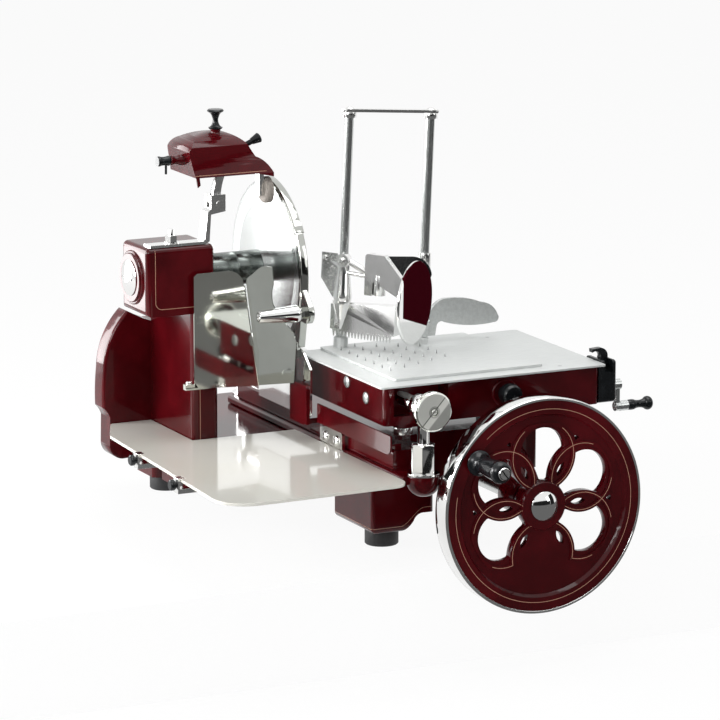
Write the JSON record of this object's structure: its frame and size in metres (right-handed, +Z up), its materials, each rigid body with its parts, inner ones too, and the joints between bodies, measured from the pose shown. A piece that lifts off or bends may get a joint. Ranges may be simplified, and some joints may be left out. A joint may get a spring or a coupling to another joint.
{
  "type": "flywheel slicer",
  "caption": "Hand-turned flywheel meat slicer: red cast base, spoked flywheel driving a round blade, sliding food table with clamp, sharpener and white receiving tray.",
  "frame": {"origin": "on the ground that the feet stand on, straight below the middle of the blade's cutting plane; the flywheel hangs in front of that surface and reaches below it", "axes": "+X along the blade spindle towards the food table, +Y along the carriage's travel away from the flywheel, +Z up"},
  "size_m": [0.8336, 0.9134, 0.7796],
  "materials": {
    "red_paint": "deep red gloss enamel with gold pinstripes",
    "chrome": "mirror chrome",
    "steel": "satin ground steel",
    "brass": "plain bronze",
    "white_enamel": "white gloss enamel",
    "black_knob": "black gloss",
    "guard_knob": "polished",
    "rubber": "matt black",
    "stone": "grinding stone"
  },
  "bodies": {
    "frame": {"base_frame": "red_paint", "rubber_feet": "rubber", "slide_arm": "red_paint", "arm_plate": "chrome", "frame_screws": "chrome", "rail_skirt": "red_paint", "guide_rod": "chrome", "rod_posts": "chrome", "rod_end_disc": "chrome", "blade_column": "red_paint", "rear_cover": "red_paint", "spindle_end_cap": "chrome", "spindle_sleeve": "chrome", "bearing_bushes": "brass", "blade_guard": "chrome", "gauge_plate": "steel", "gauge_carrier": "red_paint", "deflector_plate": "chrome", "receiving_tray": "white_enamel", "tray_clips": "chrome", "clip_knobs": "black_knob", "sharpener_strap": "chrome"},
    "guard_knob": {"guard_knob": "guard_knob"},
    "flywheel": {"flywheel_disc": "red_paint", "flywheel_rim": "chrome", "hub_cap": "chrome", "flywheel_shaft": "steel", "handle_pin": "chrome"},
    "handle_grip": {"handle_grip": "black_knob"},
    "cross_shaft": {"cross_shaft": "steel"},
    "upright_shaft": {"upright_shaft": "steel"},
    "blade": {"blade_spindle": "steel", "blade": "steel"},
    "carriage": {"carriage_box": "red_paint", "lower_table": "steel", "side_bolts": "chrome", "roller_bolt": "chrome", "end_bracket": "black_knob"},
    "thickness_knob": {"thickness_knob": "black_knob"},
    "guide_roller": {"guide_roller": "chrome"},
    "support_roller": {"support_roller": "steel"},
    "release_lever": {"release_lever": "black_knob"},
    "feed_screw": {"feed_screw": "steel"},
    "crank_grip": {"crank_grip": "black_knob"},
    "upper_table": {"upper_table": "steel", "table_spikes": "steel", "clamp_posts": "steel", "clamp_top_bar": "chrome"},
    "wing_handle": {"wing_handle": "steel"},
    "clamp": {"clamp_jaw": "chrome", "jaw_comb": "chrome", "pressure_arm": "chrome", "round_end_plate": "chrome", "bowed_shell": "black_knob"},
    "sharpener": {"sharpener_hood": "red_paint", "sharpener_arm": "chrome"},
    "top_knob": {"top_knob": "black_knob"},
    "left_knob": {"left_knob": "black_knob"},
    "right_knob": {"right_knob": "black_knob"},
    "grinding_stone": {"grinding_stone": "stone"}
  },
  "joints": [
    {"name": "flywheel_spin", "type": "hinge", "parent": "frame", "child": "flywheel", "pos_m": [0.248, -0.46, 0.104], "axis": [0, 1, 0], "continuous": true},
    {"name": "handle_spin", "type": "hinge", "parent": "flywheel", "child": "handle_grip", "pos_m": [0.12759, -0.56, 0.18832], "axis": [0, 1, 0], "continuous": true},
    {"name": "cross_shaft_spin", "type": "hinge", "parent": "frame", "child": "cross_shaft", "pos_m": [0, 0, 0.104], "axis": [1, 0, 0], "continuous": true},
    {"name": "upright_shaft_spin", "type": "hinge", "parent": "frame", "child": "upright_shaft", "pos_m": [-0.144, 0, 0.26], "axis": [0, 0, 1], "continuous": true},
    {"name": "blade_spin", "type": "hinge", "parent": "frame", "child": "blade", "pos_m": [-0.05, 0, 0.43], "axis": [1, 0, 0], "continuous": true},
    {"name": "carriage_slide", "type": "slide", "parent": "frame", "child": "carriage", "axis": [0, 1, 0], "range_m": [0, 0.24]},
    {"name": "support_roller_spin", "type": "hinge", "parent": "carriage", "child": "support_roller", "pos_m": [0.3113, -0.2, 0.2103], "axis": [1, 0, 0], "range_deg": [-700, 20]},
    {"name": "guide_roller_spin", "type": "hinge", "parent": "carriage", "child": "guide_roller", "pos_m": [0.065, -0.373, 0.218], "axis": [0, 0, 1], "continuous": true},
    {"name": "thickness_turn", "type": "hinge", "parent": "carriage", "child": "thickness_knob", "pos_m": [0.238, -0.41, 0.268], "axis": [0, 1, 0], "range_deg": [0, 270]},
    {"name": "table_feed", "type": "slide", "parent": "carriage", "child": "upper_table", "axis": [1, 0, 0], "range_m": [-0.03, 0.068]},
    {"name": "feed_crank_spin", "type": "hinge", "parent": "carriage", "child": "feed_screw", "pos_m": [0.3, -0.372, 0.256], "axis": [1, 0, 0], "range_deg": [-1540, 690]},
    {"name": "feed_grip_spin", "type": "hinge", "parent": "feed_screw", "child": "crank_grip", "pos_m": [0.5, -0.372, 0.219], "axis": [1, 0, 0], "continuous": true},
    {"name": "release_lever_turn", "type": "hinge", "parent": "carriage", "child": "release_lever", "pos_m": [0.43, -0.372, 0.292], "axis": [1, 0, 0], "range_deg": [-35, 35]},
    {"name": "clamp_slide", "type": "slide", "parent": "upper_table", "child": "clamp", "axis": [0.0436, 0, 0.999], "range_m": [0, 0.2]},
    {"name": "wing_handle_turn", "type": "hinge", "parent": "upper_table", "child": "wing_handle", "pos_m": [0.21436, -0.1432, 0.32425], "axis": [0.0436, 0, 0.999], "range_deg": [-30, 90]},
    {"name": "sharpener_tilt", "type": "hinge", "parent": "frame", "child": "sharpener", "pos_m": [-0.115, -0.043, 0.552], "axis": [0, 1, 0], "range_deg": [-40, 2]},
    {"name": "top_knob_pull", "type": "slide", "parent": "sharpener", "child": "top_knob", "axis": [0, 0, 1], "range_m": [0, 0.008], "stiffness_N_per_m": 500, "springref_m": -0.002},
    {"name": "left_knob_pull", "type": "slide", "parent": "sharpener", "child": "left_knob", "axis": [-1, 0, 0], "range_m": [0, 0.008], "stiffness_N_per_m": 500, "springref_m": -0.002},
    {"name": "right_knob_pull", "type": "slide", "parent": "sharpener", "child": "right_knob", "axis": [0.9205, 0, 0.3907], "range_m": [0, 0.006], "stiffness_N_per_m": 500, "springref_m": -0.002},
    {"name": "grinding_stone_spin", "type": "hinge", "parent": "sharpener", "child": "grinding_stone", "pos_m": [-0.024, -0.043, 0.566], "axis": [1, 0, 0], "continuous": true},
    {"name": "guard_knob_turn", "type": "hinge", "parent": "frame", "child": "guard_knob", "pos_m": [-0.05, -0.16544, 0.37942], "axis": [-1, 0, 0], "range_deg": [0, 720]}
  ],
  "couplings": [
    {"joint": "cross_shaft_spin", "follows": "flywheel_spin", "ratio": -3},
    {"joint": "upright_shaft_spin", "follows": "flywheel_spin", "ratio": 3},
    {"joint": "blade_spin", "follows": "flywheel_spin", "ratio": -3},
    {"joint": "support_roller_spin", "follows": "carriage_slide", "rad_per_m": -50},
    {"joint": "feed_crank_spin", "follows": "table_feed", "rad_per_m": -392.7}
  ]
}
